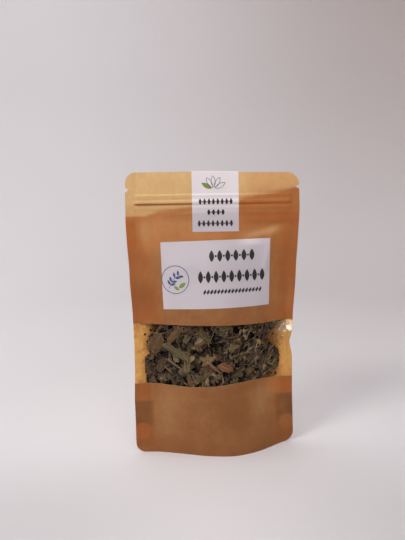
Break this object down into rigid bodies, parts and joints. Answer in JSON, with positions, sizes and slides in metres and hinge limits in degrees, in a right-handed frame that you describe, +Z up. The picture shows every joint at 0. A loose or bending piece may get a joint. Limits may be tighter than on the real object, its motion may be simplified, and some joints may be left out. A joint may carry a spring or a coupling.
{
  "type": "stand-up pouch of dried lemon verbena leaves",
  "caption": "Sealed kraft paper stand-up pouch with a clear strip window, a press-to-close zip and a gusseted base, full of crushed dried leaves.",
  "frame": {"origin": "centre of the bottom of the pouch's bounding box, on the surface it stands on", "axes": "+Z up along the pouch's height, +Y towards its back, so the window faces -Y; +X along its width"},
  "size_m": [0.11, 0.0284, 0.1856],
  "materials": {
    "film": "clear glossy film",
    "kraft": "mottled brown kraft paper with a slight sheen",
    "liner": "kraft paper under a clear film",
    "zip": "milky polyethylene",
    "label": "smooth white sticker paper",
    "leaf_olive": "dull crumbled dry leaf, dark olive",
    "leaf_tan": "dull dry leaf, tan",
    "leaf_green": "dull dry leaf, grey green",
    "leaf_yellow": "dull dry leaf, yellow brown",
    "leaf_rust": "dull dry leaf, rust brown",
    "leaf_grey": "dull dry leaf underside, grey",
    "leaf_brown": "dull dry leaf, dark brown",
    "stem": "dry woody stem and flower head"
  },
  "bodies": {
    "root": {"front_film": "film", "front_paper_lower": "kraft", "front_paper_upper": "kraft", "back_paper": "kraft", "bottom_gusset": "liner", "zip_groove_strip": "zip", "zip_rib_strip": "zip", "name_label": "label", "seal_label": "label", "leaf_olive_broad": "leaf_olive", "leaf_tan_strip": "leaf_tan", "leaf_green_strip": "leaf_green", "leaf_yellow_curl": "leaf_yellow", "leaf_green_tip": "leaf_green", "leaf_pale_scrap": "leaf_tan", "leaf_rust": "leaf_rust", "leaf_grey_oval": "leaf_grey", "leaf_brown_low": "leaf_brown", "stem_long": "stem", "stem_short": "stem", "calyx": "stem", "leaf_heap": "leaf_olive"}
  },
  "joints": []
}
